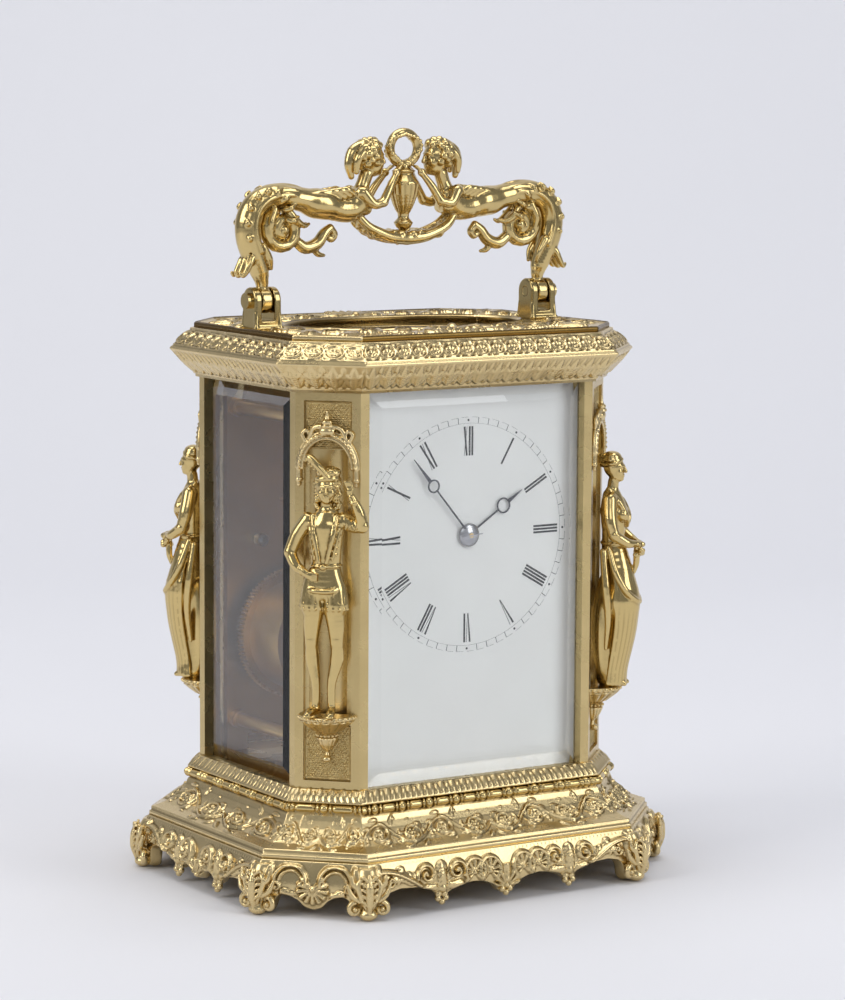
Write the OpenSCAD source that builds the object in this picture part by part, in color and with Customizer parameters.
// Carriage clock: gilt case, bevelled glass, folding handle and working trains.
// Floor at z = 0, dial faces -Y, millimetres.

/* [Case] */
// Width of the glazed body
body_w = 92; // [80:1:110]
// Depth of the glazed body
body_d = 71.3; // [60:0.1:90]
// Leg of each 45 degree corner
cant = 11.6; // [8:0.1:16]
// Height of the base up to the glass
z_body = 29; // [24:0.5:34]
// Height of the cornice's underside
z_corn = 127; // [110:0.5:140]
// Thickness of the bevelled panels
glass_t = 3.2; // [2.5:0.1:4]

/* [Handle] */
// Height of the handle's pivots
z_pivot = 147.6; // [145:0.1:150]
// Half the distance between the pivots
pivot_x = 41.5; // [38:0.1:43]
// Radius of the pivot pins
pin_r = 1.2; // [1:0.05:1.5]

/* [Movement] */
// Height of the centre arbor
z_dial = 89.6; // [85:0.1:95]
// Radial play of a running fit
play = 0.05; // [0.02:0.01:0.09]
// Module of the great wheels
mod_a = 0.35; // [0.3:0.01:0.4]
// Module of the centre wheel
mod_b = 0.30; // [0.25:0.01:0.35]
// Module of the third wheel
mod_c = 0.33; // [0.28:0.01:0.38]

/* [Hidden] */
$fn = 32;

hw = body_w/2;
hd = body_d/2;
// train centres as [x, z]
C = [0, z_dial];
B = [18.3, 59.6];
SB = [-18.3, 59.6];
K = [0, 111];
PW = [-20, 94.2];
MW = [-4.95, z_dial-4.95];
function meet(p, q, a, b, s) =
  let (d = norm(q-p), u = (q-p)/d, e = (a*a-b*b+d*d)/(2*d), h = sqrt(a*a-e*e))
  p + e*u + s*h*[u[1], -u[0]];
d_great = 108*mod_a/2;
d_second = 96*mod_a/2;
S = meet(B, C, d_great, d_second, 1);
SS = meet(SB, PW, d_great, d_second, 1);
T = meet(C, K, 88*mod_b/2, 68*mod_c/2, 1);
FL = PW + 9.52*[0.2, 0.9798];
y_esc = -3;
function dir(p, q) = atan2(q[1]-p[1], q[0]-p[0]);

function oct(o) = let (w = hw+o, d = hd+o, c = cant+0.586*o)
  [[-(w-c), -d], [w-c, -d], [w, -(d-c)], [w, d-c], [w-c, d], [-(w-c), d], [-w, d-c], [-w, -(d-c)]];

module slab(o, z0, z1) translate([0, 0, z0]) linear_extrude(z1-z0) polygon(oct(o));

// closed [offset, z] profile carried round the octagon
module ring(p) {
  n = len(p);
  pts = [for (k = [0:7]) for (i = [0:n-1]) let (q = oct(p[i][0])[k]) [q[0], q[1], p[i][1]]];
  fcs = [for (k = [0:7]) for (i = [0:n-1])
    let (a = k*n+i, b = k*n+(i+1)%n, c = ((k+1)%8)*n+(i+1)%n, d = ((k+1)%8)*n+i) [a, b, c, d]];
  polyhedron(pts, fcs, convexity = 4);
}

module seg(a, b, ra, rb) {
  v = b-a;
  l = norm(v);
  translate(a) rotate([0, acos(v[2]/l), atan2(v[1], v[0])]) cylinder(h = l, r1 = ra, r2 = rb, $fn = 24);
}
module ball(p, r) translate(p) sphere(r, $fn = 24);
// solid of a disc turned about the y axis through [x, z]
module disc(p, y0, y1, r) translate([p[0], y1, p[1]]) rotate([90, 0, 0]) cylinder(h = y1-y0, r = r);

wheel_tooth = [[-1.3, -0.25], [-0.2, -0.20], [0.45, -0.14], [0.85, -0.05],
  [0.85, 0.05], [0.45, 0.14], [-0.2, 0.20], [-1.3, 0.25]];
leaf_tooth = [[-1.35, -0.19], [-0.1, -0.16], [0.4, -0.11], [0.6, -0.05],
  [0.6, 0.05], [0.4, 0.11], [-0.1, 0.16], [-1.35, 0.19]];
function teeth(n, m, t) = [for (k = [0:n-1]) for (q = t)
  let (r = n*m/2+q[0]*m, a = (k+q[1])*360/n) [r*cos(a), r*sin(a)]];
module wheel(p, n, m, ph, y0, y1)
  translate([p[0], y1, p[1]]) rotate([90, 0, 0]) rotate(ph) linear_extrude(y1-y0) polygon(teeth(n, m, wheel_tooth));
module pinion(p, n, m, ph, y0, y1)
  translate([p[0], y1, p[1]]) rotate([90, 0, 0]) rotate(ph) linear_extrude(y1-y0) polygon(teeth(n, m, leaf_tooth));
// windows between the arms of a crossed-out wheel
module crossing(p, y0, y1, r0, r1, n) for (k = [0:n-1])
  translate([p[0], y1+0.5, p[1]]) rotate([90, 0, 0]) rotate(k*360/n) linear_extrude(y1-y0+1)
    polygon([for (t = [0:4]) let (a = 14+t*(360/n-28)/4) r1*[cos(a), sin(a)],
      r0*[cos(360/n-34), sin(360/n-34)], r0*[cos(34), sin(34)]]);

// ---- base
foot_at = [for (k = [0:7]) let (q = oct(12.4)[k]) q];
module base_apron() color([0.80, 0.58, 0.26]) {
  difference() {
    union() {
      ring([[9.4, 13.5], [9.9, 8], [11.2, 4.6], [14.3, 4.6], [15.0, 7.4], [13.6, 10.6], [12.4, 13.5]]);
      for (q = foot_at) translate([q[0], q[1], 0]) {
        cylinder(h = 3, r1 = 2.2, r2 = 3.2);
        translate([0, 0, 3]) cylinder(h = 8.4, r = 3.2);
      }
      for (x = [-19, 0, 19]) for (s = [-1, 1]) translate([x, s*(hd+12.6), 2.4]) cylinder(h = 6, r1 = 1.2, r2 = 2.4);
      for (y = [-10, 10]) for (s = [-1, 1]) translate([s*(hw+12.6), y, 2.4]) cylinder(h = 6, r1 = 1.2, r2 = 2.4);
    }
    slab(9.2, -1, 20);
  }
}
module base_plinth() color([0.82, 0.60, 0.28]) {
  ring([[-4, 29], [-4, 22], [4.4, 13.5], [12.0, 13.5], [12.0, 14.7], [11.6, 14.7], [11.6, 15.9], [11.2, 15.9],
    [7.4, 17.4], [4.4, 20], [2.6, 23], [2.6, 25.9], [3.0, 26], [0.6, 29]]);
}
module bead_moulding() color([0.86, 0.66, 0.33])
  ring([[2.6, 23.3], [2.6, 25.9], [3.4, 25.9], [4.8, 25.2], [4.8, 24.0], [3.4, 23.3]]);
module base_plate() color([0.72, 0.55, 0.27]) slab(-4, 25.5, 29);

// ---- corners
post_f = [[-31.9, -35.65], [-34.4, -35.65], [-46, -24.05], [-46, -21.55], [-43.55, -21.55], [-43.55, -22.55],
  [-42.35, -22.55], [-42.35, -21.55], [-40.6, -21.55], [-40.6, -22.1], [-32.5, -30.2], [-31.9, -30.2],
  [-31.9, -32.0], [-32.9, -32.0], [-32.9, -33.2], [-31.9, -33.2]];
post_r = [[-31.9, -35.65], [-34.4, -35.65], [-46, -24.05], [-46, -21.55], [-43.55, -21.55], [-43.55, -22.55],
  [-42.35, -22.55], [-42.35, -21.55], [-40.6, -21.55], [-40.6, -22.1], [-32.5, -30.2], [-31.9, -30.2]];
// local frames of the canted corners: -Y points outward, origin on the face
module corner() translate([-40.2, -29.85, 0]) rotate(-45) children();
module corner_fr() translate([40.2, -29.85, 0]) rotate(45) children();
module corner_rl() translate([-40.2, 29.85, 0]) rotate(-135) children();
module corner_rr() translate([40.2, 29.85, 0]) rotate(135) children();
module post(sec) difference() {
  translate([0, 0, z_body]) linear_extrude(z_corn-z_body) polygon(sec);
  corner() translate([-6, -1, 31]) cube([12, 2, 94]);
  corner() intersection() {
    translate([0, -2.6, 45]) cylinder(h = 68, r = 6, $fn = 48);
    translate([-8, -3, 45]) cube([16, 6.4, 68]);
  }
}
module niche() {
  difference() {
    union() {
      translate([0, 0, 110.5]) rotate([90, 0, 0]) cylinder(h = 1.4, r = 8);
      translate([-8, -1.4, 108]) cube([16, 1.4, 2.5]);
    }
    translate([0, 1, 110.3]) rotate([90, 0, 0]) cylinder(h = 4, r = 5.9);
    translate([-5.9, -3, 107]) cube([11.8, 4, 3.5]);
    translate([-9, -3, 101]) cube([18, 4, 7]);
  }
  translate([0, -1.1, 115.4]) cylinder(h = 4, r1 = 1.8, r2 = 1.1);
  translate([0, -1.1, 119.4]) cylinder(h = 3, r1 = 1.3, r2 = 0.6);
  intersection() {
    union() {
      translate([0, -0.6, 44]) cylinder(h = 3.8, r1 = 3.2, r2 = 6.6);
      translate([0, -0.6, 37.5]) cylinder(h = 6.5, r1 = 1.3, r2 = 3.2);
      translate([0, -0.6, 35.4]) cylinder(h = 2.1, r1 = 0.6, r2 = 1.3);
    }
    union() {
      translate([-10, -10, 30]) cube([20, 10, 20]);
      translate([-5.8, -1, 30]) cube([11.6, 2, 20]);
    }
  }
}
// standing page in an open jacket and short breeches
module page() {
  seg([-1.6, -3.6, 47.945], [-2.6, -3.4, 60], 1.5, 1.8);
  seg([1.8, -3.6, 47.945], [2.9, -3.4, 60], 1.5, 1.8);
  seg([-2.4, -3.4, 59], [-1.7, -3.6, 72], 2.3, 3.2);
  seg([2.6, -3.4, 59], [1.9, -3.6, 72], 2.3, 3.2);
  seg([0.2, -3.6, 69], [0.6, -3.8, 84.5], 4.3, 3.4);
  seg([0.4, -3.9, 83.5], [0.6, -4.0, 97], 3.6, 4.5);
  seg([0.7, -4.0, 96], [0.8, -4.2, 102], 1.7, 1.5);
  ball([0.8, -4.4, 103], 3.3);
  seg([0.9, -4.1, 105], [1.2, -4.0, 109.2], 3.7, 2.6);
  seg([-0.4, -4.0, 107], [-3.4, -3.8, 111.6], 1.3, 0.5);
  seg([-3.0, -3.9, 95.4], [-8.6, -4.7, 88.0], 1.8, 1.4);
  seg([-8.8, -4.5, 89.2], [-3.0, -5.7, 83.4], 1.5, 1.1);
  seg([4.0, -4.0, 95.6], [10.2, -5.1, 94.8], 1.8, 1.4);
  seg([9.6, -4.9, 94.0], [6.5, -6.1, 105.4], 1.5, 1.1);
}
// standing lady in a long skirt, hands forward
module lady() difference() {
  union() {
  seg([0, -4.0, 47.2], [0, -4.9, 72], 3.9, 5.8);
  seg([0, -4.8, 71.4], [0, -4.1, 85], 5.75, 2.9);
  seg([0, -4.2, 84], [0, -4.25, 97], 3.1, 4.2);
  seg([0, -4.3, 96], [0, -4.4, 102], 1.6, 1.4);
  ball([0, -4.4, 103], 3.2);
  ball([0, -3.2, 106.4], 2.6);
  for (s = [-1, 1]) {
    seg([s*2.6, -4.1, 95.4], [s*6.0, -5.7, 85.6], 1.75, 1.35);
    seg([s*5.7, -5.3, 87.0], [s*0.7, -9.9, 84.3], 1.5, 1.05);
  }
  ball([0, -10.2, 84.4], 2.2);
  }
  translate([-15, -20, 40]) cube([30, 24, 7.8]);
}
module figure_page_front() color([0.84, 0.62, 0.28]) corner() page();
module figure_page_rear() color([0.84, 0.62, 0.28]) corner_rr() page();
module figure_lady_front() color([0.84, 0.62, 0.28]) corner_fr() lady();
module figure_lady_rear() color([0.84, 0.62, 0.28]) rotate(180) corner_fr() lady();
module niche_front_left() color([0.84, 0.62, 0.28]) corner() niche();
module niche_front_right() color([0.84, 0.62, 0.28]) corner_fr() niche();
module niche_rear_left() color([0.84, 0.62, 0.28]) corner_rl() niche();
module niche_rear_right() color([0.84, 0.62, 0.28]) corner_rr() niche();
module post_front_left() color([0.80, 0.58, 0.26]) post(post_f);
module post_front_right() color([0.80, 0.58, 0.26]) mirror([1, 0, 0]) post(post_f);
module post_rear_left() color([0.80, 0.58, 0.26]) mirror([0, 1, 0]) post(post_r);
module post_rear_right() color([0.80, 0.58, 0.26]) rotate(180) post(post_r);

// ---- glazing
// bevelled sheet standing on the x axis, outer face at y = 0
module sheet(w, e, t, z0, z1) intersection() {
  translate([0, 0, z0]) linear_extrude(z1-z0)
    polygon([[-w-e, t], [w+e, t], [w+e, 2], [w, 2], [w-4, 0], [4-w, 0], [-w, 2], [-w-e, 2]]);
  translate([-w-e-1, 0, 0]) rotate([90, 0, 90]) linear_extrude(2*(w+e)+2)
    polygon([[t, z0], [t, z1], [2, z1], [0, z1-4], [0, z0+4], [2, z0]]);
}
module front_glass() color([0.80, 0.88, 0.90, 0.3]) translate([0, -35.2, 0]) sheet(31.9, 1, glass_t, z_body, z_corn);
module left_glass() color([0.80, 0.88, 0.90, 0.3])
  translate([-45.55, 0, 0]) rotate(-90) sheet(21.55, 1, glass_t, z_body, z_corn);
module right_glass() color([0.80, 0.88, 0.90, 0.3])
  translate([45.55, 0, 0]) rotate(90) sheet(21.55, 1, glass_t, z_body, z_corn);

// ---- top
module cornice() color([0.82, 0.60, 0.28])
  ring([[-5, 127], [-5, 139.5], [2.0, 139.5], [2.0, 138.6], [6.3, 134.8], [6.9, 134.2], [6.7, 133.8],
    [4.2, 130.8], [1.6, 128.4], [0.9, 127.6], [0.8, 127]]);
module top_plate() color([0.82, 0.60, 0.28]) difference() {
  slab(1.3, 139.5, 140.5);
  translate([0, 0, 139]) linear_extrude(2) polygon([for (k = [0:47]) [33.5*cos(k*7.5), 18.7*sin(k*7.5)]]);
}
module top_glass() color([0.80, 0.88, 0.90, 0.3]) translate([0, 0, 138.3]) linear_extrude(1.2)
  polygon([for (k = [0:47]) [35.5*cos(k*7.5), 20.7*sin(k*7.5)]]);
module lug(s) difference() {
  union() {
    translate([s*pivot_x-3.75, -3.4, 140.5]) cube([7.5, 6.8, z_pivot-140.5]);
    translate([s*pivot_x-3.75, 0, z_pivot]) rotate([0, 90, 0]) cylinder(h = 7.5, r = 3.4);
  }
  translate([s*pivot_x-1.85, -5, 142.6]) cube([3.7, 10, 12]);
  translate([s*pivot_x-5, 0, z_pivot]) rotate([0, 90, 0]) cylinder(h = 10, r = pin_r);
}
module lug_left() color([0.82, 0.60, 0.28]) lug(-1);
module lug_right() color([0.82, 0.60, 0.28]) lug(1);
module handle_pins() color([0.86, 0.66, 0.33]) for (s = [-1, 1]) {
  translate([s*pivot_x-3.75, 0, z_pivot]) rotate([0, 90, 0]) cylinder(h = 7.5, r = pin_r);
  translate([s*(pivot_x+4.35)-0.6, 0, z_pivot]) rotate([0, 90, 0]) cylinder(h = 1.2, r = 2);
}
arm = [[41.5, 152], [42.8, 157], [44.9, 162], [45.0, 167], [42.6, 171.6], [38.4, 174.2], [33.5, 174.7],
  [28.5, 173.8], [24, 172.0], [19.5, 169.8], [15, 169.8], [10.5, 171], [6, 171.8], [-1, 172]];
arm_r = [1.5, 2.2, 2.6, 2.7, 2.7, 2.6, 2.5, 2.4, 2.5, 3.4, 3.7, 3.0, 2.4, 2.4];
// outline of a bent bar along p with half-widths r
function bar(p, r) = let (n = len(p)-1, nrm = [for (i = [0:n])
  let (v = p[min(i+1, n)]-p[max(i-1, 0)]) [-v[1], v[0]]/norm(v)])
  concat([for (i = [0:n]) p[i]+r[i]*nrm[i]], [for (i = [n:-1:0]) p[i]-r[i]*nrm[i]]);
module flat(p, t) translate([0, t, 0]) rotate([90, 0, 0]) linear_extrude(2*t) polygon(p);
module half_handle() {
  difference() {
    union() {
      translate([40, 0, z_pivot]) rotate([0, 90, 0]) cylinder(h = 3, r = 3.2);
      translate([40, -1.7, z_pivot]) cube([3, 3.4, 6.2]);
    }
    translate([39, 0, z_pivot]) rotate([0, 90, 0]) cylinder(h = 5, r = pin_r+play);
  }
  flat(bar(arm, arm_r), 2.4);
  flat(bar([[45.4, 160.6], [47.0, 157], [48.0, 154]], [2.0, 1.5, 0.6]), 1.2);
  difference() {
    disc([35.4, 164.4], -1.7, 1.7, 6.1);
    disc([35.4, 164.4], -3, 3, 3.2);
  }
  flat([[38, 168], [41, 167], [43, 171], [40, 173]], 1.5);
  flat(bar([[31, 164], [26, 163.6], [20.6, 164.4]], [1.4, 1.4, 2.1]), 1.4);
  flat([[17.4, 169], [9.6, 169], [8.0, 181], [13.4, 181]], 3.2);
  disc([10.5, 183.3], -4.3, 4.3, 4.9);
  flat([[14, 170], [17.4, 169], [21.4, 177], [19.8, 178]], 1.8);
  flat([[11, 171.5], [10.4, 174.8], [5.4, 178.6], [4.2, 176.8]], 2.8);
  flat([[10, 179.4], [9.6, 182.4], [3.2, 182.6], [3.4, 180.2]], 1.9);
  flat(bar([[17, 168.6], [8, 163.2], [-1, 162.6]], [1.6, 1.6, 1.7]), 1.6);
}
module handle() color([0.84, 0.62, 0.28]) {
  half_handle();
  mirror([1, 0, 0]) half_handle();
  translate([0, 0, 162.6]) cylinder(h = 6, r = 1.9);
  translate([0, 0, 168.1]) cylinder(h = 6.9, r1 = 2.5, r2 = 4.3);
  translate([0, 0, 174.9]) cylinder(h = 6.2, r1 = 4.1, r2 = 2.9);
  difference() {
    disc([0, 185], -1.6, 1.6, 5.7);
    disc([0, 185], -3, 3, 2.5);
  }
}

// ---- rear door
module door_frame() color([0.80, 0.58, 0.26]) difference() {
  union() {
    translate([-31.6, 31.65, 29.3]) cube([61.1, 4, 97.4]);
    translate([29.5, 33.65, 29.3]) cylinder(h = 97.4, r = 2);
  }
  translate([-27.2, 31, 34]) cube([54.4, 6, 88]);
  translate([-28.2, 31, 33]) cube([56.4, 2.6, 90]);
  translate([29.5, 33.65, 28]) cylinder(h = 3.5, r = 0.8+play);
  translate([29.5, 33.65, 124.5]) cylinder(h = 3.5, r = 0.8+play);
}
module door_glass() color([0.80, 0.88, 0.90, 0.3]) {
  translate([-28.2, 31.9, 33]) cube([56.4, 1.7, 90]);
  translate([0, 35.2, 0]) rotate(180) intersection() {
    translate([0, 0, 34]) linear_extrude(88) polygon([[-27.2, 1.65], [27.2, 1.65], [27.2, 1.3], [23.2, 0], [-23.2, 0], [-27.2, 1.3]]);
    translate([-30, 0, 0]) rotate([90, 0, 90]) linear_extrude(60)
      polygon([[1.65, 34], [1.65, 122], [1.3, 122], [0, 118], [0, 38], [1.3, 34]]);
  }
}
module door_knob() color([0.86, 0.66, 0.33]) {
  disc([-29.4, 78], 35.65, 37.2, 1.3);
  translate([-29.4, 39.2, 78]) sphere(2.3);
}
module door_pins() color([0.80, 0.62, 0.30]) for (z = [29, 125]) translate([29.5, 33.65, z]) cylinder(h = 2, r = 0.8);

// ---- dial and hands
module dial() color([0.93, 0.92, 0.88]) {
  for (x = [-27, 27]) for (z = [45, 115]) disc([x, z], -28.2, -24.3, 1);
  difference() {
    translate([-33, -29.6, 29.2]) cube([66, 1.4, 97.6]);
    disc(C, -31, -27, 1.9);
  }
}

module hand(l, moon, rm, y0, y1, rh, a) translate([0, 0, z_dial]) rotate([0, a, 0]) translate([0, y1, 0])
  rotate([90, 0, 0]) linear_extrude(y1-y0) difference() {
    union() {
      circle(r = rh+1.0);
      polygon([[-0.62, 0], [0.62, 0], [0.42, moon-rm+0.4], [-0.42, moon-rm+0.4]]);
      translate([0, moon]) circle(r = rm);
      polygon([[-0.55, moon+rm-0.4], [0.55, moon+rm-0.4], [0.1, l], [-0.1, l]]);
      polygon([[-0.6, -4.6], [0.6, -4.6], [0.5, 0], [-0.5, 0]]);
    }
    circle(r = rh);
    translate([0.1, moon]) circle(r = rm-0.6);
  }
module hour_hand() color([0.12, 0.12, 0.15]) hand(19, 11.8, 2.0, -30.3, -30.0, 1.5, 56.7);
module minute_hand() color([0.12, 0.12, 0.15]) hand(26, 16.8, 1.8, -30.95, -30.65, 0.95, -40);
module hand_collet() color([0.45, 0.45, 0.47]) {
  difference() {
    disc(C, -31.5, -30.95, 2.4);
    disc(C, -32, -30, 0.6);
  }
}

// ---- motion work
module cannon_pinion() color([0.62, 0.62, 0.64]) difference() {
  union() {
    disc(C, -30.95, -24.8, 0.95);
    pinion(C, 10, mod_a, dir(C, MW), -25.6, -24.8);
  }
  disc(C, -32, -24, 0.6);
}
module hour_wheel() color([0.80, 0.60, 0.26]) difference() {
  union() {
    wheel(C, 32, mod_a, dir(C, MW), -27.0, -26.0);
    disc(C, -30.3, -26.0, 1.5);
  }
  disc(C, -32, -24, 0.95+play);
}
module minute_wheel() color([0.80, 0.60, 0.26]) difference() {
  union() {
    wheel(MW, 30, mod_a, dir(MW, C)+180/30, -25.6, -24.8);
    pinion(MW, 8, mod_a, dir(MW, C)+180/8, -27.2, -25.6);
  }
  disc(MW, -29, -24, 0.45+play);
}

// ---- plates
module front_plate() color([0.82, 0.62, 0.28]) {
  difference() {
    translate([-36, -24.3, 33]) cube([72, 2, 89]);
    disc(C, -25, -22, 0.6+play);
    for (p = [B, SB]) disc(p, -25, -22, 1.4+play);
    for (p = [S, SS, T, K, PW, FL]) disc(p, -25, -22, 0.4+play);
  }
  disc(MW, -27.4, -24.3, 0.45);
  for (x = [-36, 30]) translate([x, -24.3, 29]) cube([6, 2, 4]);
}
module back_plate() color([0.82, 0.62, 0.28]) {
  difference() {
    translate([-36, 24, 33]) cube([72, 2, 89]);
    disc(C, 23, 27, 0.6+play);
    for (p = [B, SB]) disc(p, 23, 27, 1.4+play);
    for (p = [S, SS, T, K, PW, FL]) disc(p, 23, 27, 0.4+play);
    disc([-27, 84], 23, 27, 0.8+play);
  }
  for (x = [-36, 30]) translate([x, 24, 29]) cube([6, 2, 4]);
}
pillars = [[-33, 37.4], [33, 37.4], [-33, 118.5], [33, 118.5]];
module plate_pillars() color([0.84, 0.64, 0.30]) for (p = pillars) {
  disc(p, -22.3, 24, 1.7);
  disc(p, -22.3, -20.3, 2.4);
  disc(p, 22, 24, 2.4);
}
module plate_screws() color([0.20, 0.22, 0.34]) for (p = pillars) {
  disc(p, -25.5, -24.3, 1.6);
  difference() {
    disc(p, 26, 27.2, 1.8);
    translate([p[0]-3, 26.8, p[1]-0.25]) cube([6, 1, 0.5]);
  }
}

// ---- going train
module barrel(p, q) {
  difference() {
    wheel(p, 96, mod_a, dir(p, q), 18, 20.5);
    disc(p, 17, 22, 1.4);
  }
  difference() {
    disc(p, 3.5, 18, 14.6);
    disc(p, 4.7, 16.8, 13.4);
    disc(p, 3, 19, 1.4);
  }
  disc(p, -24.1, 26, 1.4);
  translate([p[0]-0.95, 26, p[1]-0.95]) cube([1.9, 3, 1.9]);
  disc(p, -20, -17, 2.6);
}
module going_barrel() color([0.82, 0.62, 0.28]) barrel(B, S);
module strike_barrel() color([0.82, 0.62, 0.28]) barrel(SB, SS);
// arbor with a pinion, and a crossed wheel further along
module mobile(p, np, mp, php, yp0, yp1, nw, mw, phw, yw0, yw1) {
  disc(p, -24.1, 25.8, 0.4);
  disc(p, -21.8, 23.6, 0.7);
  pinion(p, np, mp, php, yp0, yp1);
  difference() {
    wheel(p, nw, mw, phw, yw0, yw1);
    crossing(p, yw0, yw1, 0.2*nw*mw/2+0.9, nw*mw/2-1.7, 5);
  }
}
module second_wheel() color([0.80, 0.60, 0.26])
  mobile(S, 12, mod_a, dir(S, B)+15, 17.4, 21.2, 84, mod_a, dir(S, C), -2, -0.8);
module centre_wheel() color([0.80, 0.60, 0.26]) {
  disc(C, -31.5, 25.8, 0.6);
  disc(C, -21.8, 23.6, 0.9);
  pinion(C, 12, mod_a, dir(C, S)+15, -3, 0.2);
  difference() {
    wheel(C, 80, mod_b, dir(C, T), -10, -8.8);
    crossing(C, -10, -8.8, 3, 10.2, 5);
  }
}
module third_wheel() color([0.80, 0.60, 0.26])
  mobile(T, 8, mod_b, dir(T, C)+22.5, -11, -7.8, 60, mod_c, dir(T, K), -16, -14.8);
y_crown = y_esc-0.65;
module contrate_wheel() color([0.80, 0.60, 0.26]) {
  disc(K, -24.1, 25.8, 0.4);
  disc(K, -21.8, 23.6, 0.7);
  pinion(K, 8, mod_c, dir(K, T)+22.5, -17, -13.8);
  difference() {
    disc(K, y_crown-1.9, y_crown-0.9, 8.4);
    crossing(K, y_crown-1.9, y_crown-0.9, 2.2, 6.8, 4);
  }
  translate([K[0], y_crown, K[1]]) rotate([90, 0, 0]) for (k = [0:63]) rotate(90+(k+0.5)*360/64)
    translate([7.4, -0.08, 0]) cube([1, 0.16, 1]);
}

// ---- platform escapement
module platform() color([0.82, 0.62, 0.28]) difference() {
  translate([-15, -24.3, 122]) cube([30, 50.3, 1.5]);
  translate([0, y_esc, 121]) cylinder(h = 4, r = 0.4+play);
  translate([0, y_esc+6.2, 121]) cylinder(h = 4, r = 0.3+play);
  translate([0, y_esc+12.5, 121]) cylinder(h = 4, r = 0.3+play);
}
module escape_wheel() color([0.80, 0.66, 0.36]) translate([0, y_esc, 0]) {
  translate([0, 0, 116]) cylinder(h = 11.5, r = 0.4);
  translate([0, 0, 117.4]) linear_extrude(3) polygon([for (k = [0:7])
    each [for (q = [[0.55, -14], [1.15, -4.5], [1.15, 4.5], [0.55, 14]])
      [q[0]*cos(k*45-90+q[1]), q[0]*sin(k*45-90+q[1])]]]);
  translate([0, 0, 125.6]) linear_extrude(0.7) polygon([for (k = [0:14]) each
    [[3.3*cos(k*24), 3.3*sin(k*24)], [4.2*cos(k*24+4), 4.2*sin(k*24+4)], [4.2*cos(k*24+7), 4.2*sin(k*24+7)],
      [3.3*cos(k*24+12), 3.3*sin(k*24+12)]]]);
}
module pallet_lever() color([0.55, 0.55, 0.58]) translate([0, y_esc+6.2, 0]) {
  translate([0, 0, 122.1]) cylinder(h = 5.6, r = 0.3);
  translate([0, 0, 125.7]) linear_extrude(0.8) {
    circle(r = 0.9);
    translate([-2.8, -0.5]) square([5.6, 1]);
    translate([-0.35, 0]) square([0.7, 4.4]);
  }
  for (s = [-1, 1]) translate([s*2.4-0.35, -1.9, 125.4]) cube([0.7, 1.6, 1.2]);
}
module balance_wheel() color([0.84, 0.68, 0.36]) translate([0, y_esc+12.5, 0]) {
  translate([0, 0, 122.1]) cylinder(h = 9.7, r = 0.3);
  translate([0, 0, 124.2]) cylinder(h = 6, r = 0.6);
  difference() {
    translate([0, 0, 128.6]) cylinder(h = 1.2, r = 7.5, $fn = 64);
    translate([0, 0, 128]) cylinder(h = 3, r = 6.6, $fn = 64);
  }
  translate([-6.8, -0.5, 128.7]) cube([13.6, 1, 0.8]);
}
module balance_cock() color([0.84, 0.64, 0.30]) translate([0, y_esc+12.5, 0]) difference() {
  union() {
    translate([-13, -2.6, 123.5]) cube([4.2, 5.2, 8.4]);
    translate([-13, -1.8, 131.5]) cube([13, 3.6, 1.3]);
    translate([0, 0, 131.5]) cylinder(h = 1.3, r = 2.6);
  }
  translate([0, 0, 131]) cylinder(h = 1, r = 0.3+play);
}
module hairspring() color([0.18, 0.22, 0.40]) translate([0, y_esc+12.5, 130.5]) linear_extrude(0.4)
  polygon([for (k = [0:60]) let (a = k*24, r = 1.2+k*0.05) [r*cos(a), r*sin(a)],
    for (k = [60:-1:0]) let (a = k*24, r = 1.45+k*0.05) [r*cos(a), r*sin(a)]]);

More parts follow.
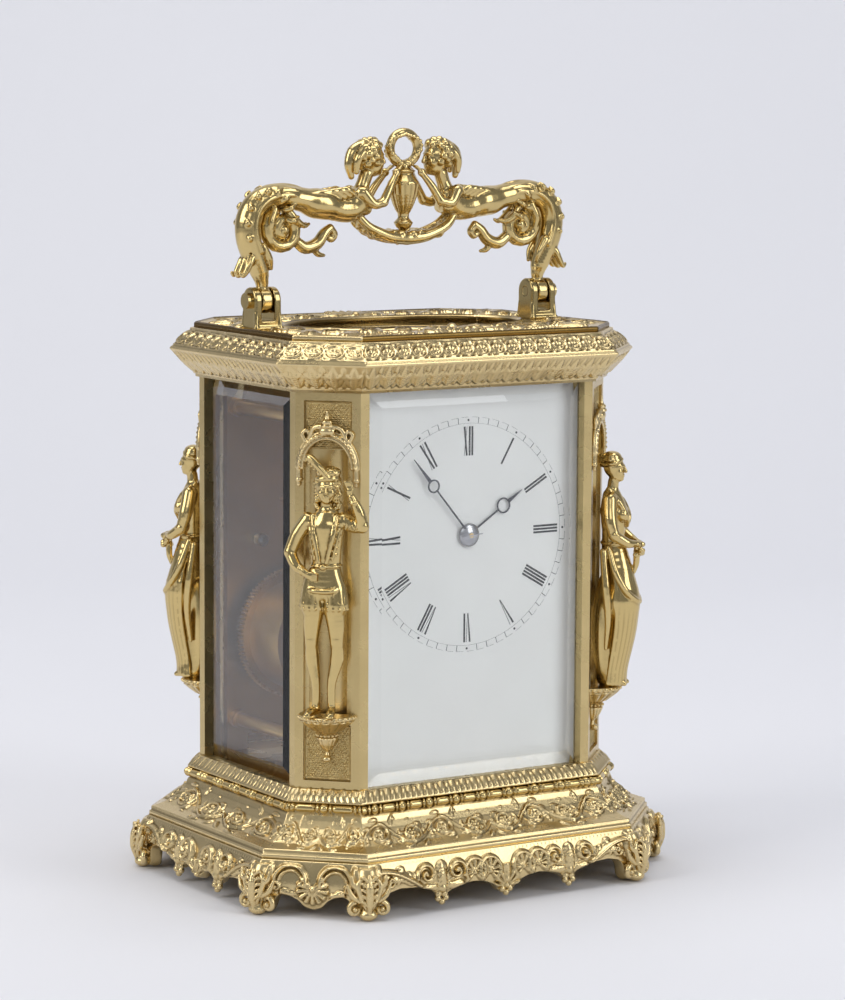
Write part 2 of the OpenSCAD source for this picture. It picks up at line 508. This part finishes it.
// ---- strike train
module strike_second_wheel() color([0.80, 0.60, 0.26])
  mobile(SS, 12, mod_a, dir(SS, SB)+15, 17.4, 21.2, 84, mod_a, dir(SS, PW), -5.4, -4.2);
module strike_pin_wheel() color([0.80, 0.60, 0.26]) {
  mobile(PW, 12, mod_a, dir(PW, SS)+15, -6.4, -3.4, 60, 0.28, dir(PW, FL), -13.5, -12.3);
  for (k = [0:9]) disc(PW+7.2*[cos(k*36), sin(k*36)], -12.4, -10.6, 0.4);
}
module strike_fly() color([0.80, 0.66, 0.36]) {
  disc(FL, -24.1, 25.8, 0.4);
  disc(FL, -21.8, 23.6, 0.6);
  pinion(FL, 8, 0.28, dir(FL, PW)+22.5, -14.4, -11.4);
  translate([FL[0]-5, 6, FL[1]-0.3]) cube([10, 12, 0.6]);
}
module hammer() color([0.42, 0.42, 0.44]) {
  disc([-27, 84], 20, 29.4, 0.8);
  disc([-27, 84], 21, 23.6, 1.6);
  disc([-27, 84], 27, 29.2, 1.6);
  translate([-27.7, 27.4, 84]) cube([1.4, 1.6, 22]);
  translate([-27.6, 26.8, 104]) cube([7.8, 2.6, 4.4]);
}
module gong() color([0.22, 0.24, 0.36]) {
  for (r = [14, 17, 20]) translate([2, 28.4, 97]) rotate([90, 0, 0]) rotate_extrude($fn = 64)
    translate([r, 0]) circle(r = 0.7, $fn = 12);
  translate([0, 26, 75.4]) cube([4, 3.9, 8.6]);
}

base_apron();
base_plinth();
bead_moulding();
base_plate();
post_front_left();
post_front_right();
post_rear_left();
post_rear_right();
figure_page_front();
figure_lady_front();
figure_lady_rear();
figure_page_rear();
niche_front_left();
niche_front_right();
niche_rear_left();
niche_rear_right();
front_glass();
left_glass();
right_glass();
cornice();
top_plate();
top_glass();
lug_left();
lug_right();
handle_pins();
handle();
door_frame();
door_glass();
door_knob();
door_pins();
dial();
hour_hand();
minute_hand();
hand_collet();
front_plate();
back_plate();
plate_pillars();
plate_screws();
hour_wheel();
cannon_pinion();
minute_wheel();
going_barrel();
second_wheel();
centre_wheel();
third_wheel();
contrate_wheel();
platform();
escape_wheel();
pallet_lever();
balance_wheel();
balance_cock();
hairspring();
strike_barrel();
strike_second_wheel();
strike_pin_wheel();
strike_fly();
hammer();
gong();
